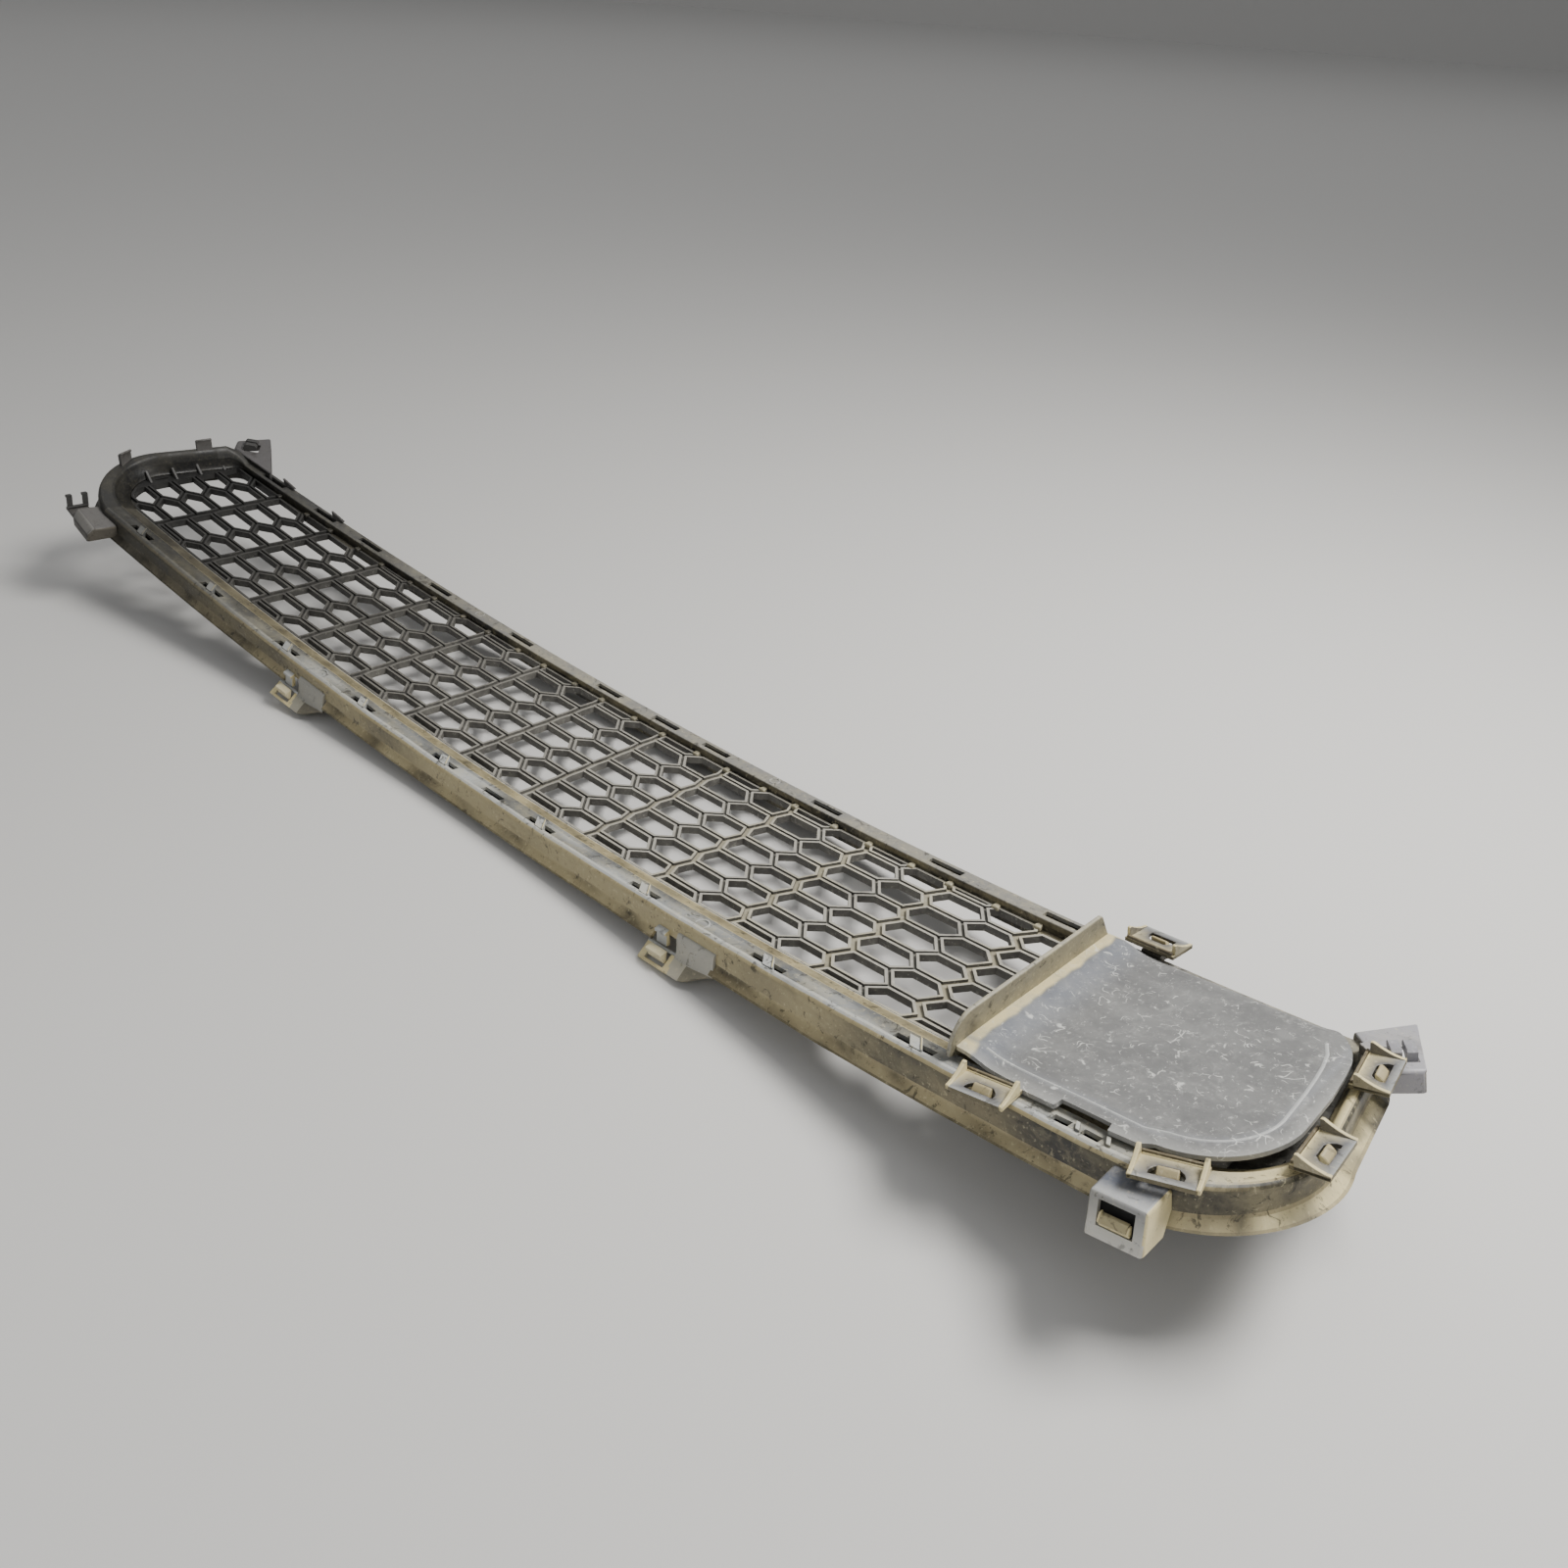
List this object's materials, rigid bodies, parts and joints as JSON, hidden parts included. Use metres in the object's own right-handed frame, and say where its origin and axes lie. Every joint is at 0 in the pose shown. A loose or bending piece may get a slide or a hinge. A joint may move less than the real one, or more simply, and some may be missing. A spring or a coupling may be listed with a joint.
{
  "type": "front bumper lower grille",
  "caption": "Curved lower bumper grille with a hexagon mesh in a moulded surround, a blanking panel over one end and snap brackets on the outside.",
  "frame": {"origin": "middle of the mesh's rear face, half way along the bumper", "axes": "+X along the bumper towards the blanking panel, +Z out of the rear face, -Y towards the wide lower rim"},
  "size_m": [1.0752, 0.2081, 0.102],
  "materials": {
    "surround_grey": "dusty, grained",
    "mesh_grey": "dusty edges",
    "panel_grey": "scuffed, dusty",
    "shaded_grey": "matt, lightly dusty"
  },
  "bodies": {
    "grille": {"surround_lower_rim": "surround_grey", "surround_right_end": "surround_grey", "surround_upper_rail": "surround_grey", "surround_left_end": "shaded_grey", "mesh_insert": "mesh_grey", "insert_hooks_lower": "surround_grey", "blanking_panel": "panel_grey", "lower_left_bracket": "shaded_grey", "lower_mid_left_bracket": "surround_grey", "lower_mid_right_bracket": "surround_grey", "lower_right_bracket": "surround_grey", "upper_left_bracket": "shaded_grey", "upper_right_bracket": "surround_grey"},
    "clip_lower_inner": {"panel_clip_lower_inner": "surround_grey"},
    "clip_lower_outer": {"panel_clip_lower_outer": "surround_grey"},
    "clip_end_lower": {"panel_clip_end_lower": "surround_grey"},
    "clip_end_upper": {"panel_clip_end_upper": "surround_grey"},
    "clip_upper": {"panel_clip_upper": "surround_grey"},
    "lower_left_tongue": {"lower_left_tongue": "shaded_grey"},
    "lower_mid_left_tongue": {"lower_mid_left_tongue": "surround_grey"},
    "lower_mid_right_tongue": {"lower_mid_right_tongue": "surround_grey"},
    "lower_right_tongue": {"lower_right_tongue": "surround_grey"},
    "upper_left_tongue": {"upper_left_tongue": "shaded_grey"},
    "upper_right_tongue": {"upper_right_tongue": "surround_grey"}
  },
  "joints": [
    {"name": "clip_lower_inner_flex", "type": "hinge", "parent": "grille", "child": "clip_lower_inner", "pos_m": [0.3945, -0.0946, 0.04646], "axis": [-0.9821, -0.0593, -0.179], "range_deg": [0, 8], "stiffness_Nm_per_rad": 0.5},
    {"name": "clip_lower_outer_flex", "type": "hinge", "parent": "grille", "child": "clip_lower_outer", "pos_m": [0.4835, -0.0954, 0.06459], "axis": [-0.9466, -0.2419, -0.2132], "range_deg": [0, 8], "stiffness_Nm_per_rad": 0.5},
    {"name": "clip_end_lower_flex", "type": "hinge", "parent": "grille", "child": "clip_end_lower", "pos_m": [0.519, -0.058, 0.0729], "axis": [0.0678, -0.9976, 0.0165], "range_deg": [0, 8], "stiffness_Nm_per_rad": 0.5},
    {"name": "clip_end_upper_flex", "type": "hinge", "parent": "grille", "child": "clip_end_upper", "pos_m": [0.5132, 0.007, 0.0715], "axis": [0.1521, -0.9877, 0.0365], "range_deg": [0, 8], "stiffness_Nm_per_rad": 0.5},
    {"name": "clip_upper_flex", "type": "hinge", "parent": "grille", "child": "clip_upper", "pos_m": [0.389, 0.04666, 0.04546], "axis": [0.9789, -0.1045, 0.1758], "range_deg": [0, 8], "stiffness_Nm_per_rad": 0.5},
    {"name": "lower_left_tongue_flex", "type": "hinge", "parent": "grille", "child": "lower_left_tongue", "pos_m": [-0.50187, -0.11716, 0.05724], "axis": [-0.0681, -0.9976, 0.015], "range_deg": [-8, 0], "stiffness_Nm_per_rad": 0.3},
    {"name": "lower_mid_left_tongue_flex", "type": "hinge", "parent": "grille", "child": "lower_mid_left_tongue", "pos_m": [-0.2238, -0.10166, -0.00511], "axis": [0.9948, 0.0349, -0.0954], "range_deg": [-8, 0], "stiffness_Nm_per_rad": 0.3},
    {"name": "lower_mid_right_tongue_flex", "type": "hinge", "parent": "grille", "child": "lower_mid_right_tongue", "pos_m": [0.17477, -0.10009, -0.00954], "axis": [0.996, -0.0297, 0.0845], "range_deg": [-8, 0], "stiffness_Nm_per_rad": 0.3},
    {"name": "lower_right_tongue_flex", "type": "hinge", "parent": "grille", "child": "lower_right_tongue", "pos_m": [0.47921, -0.12696, 0.04542], "axis": [0.9763, 0, 0.2166], "range_deg": [-8, 0], "stiffness_Nm_per_rad": 0.3},
    {"name": "upper_left_tongue_flex", "type": "hinge", "parent": "grille", "child": "upper_left_tongue", "pos_m": [-0.52006, 0.03813, 0.07111], "axis": [0.7438, -0.6428, -0.1833], "range_deg": [0, 8], "stiffness_Nm_per_rad": 0.3},
    {"name": "upper_right_tongue_flex", "type": "hinge", "parent": "grille", "child": "upper_right_tongue", "pos_m": [0.52547, 0.02853, 0.07044], "axis": [0.7951, 0.5736, 0.197], "range_deg": [0, 8], "stiffness_Nm_per_rad": 0.3}
  ]
}
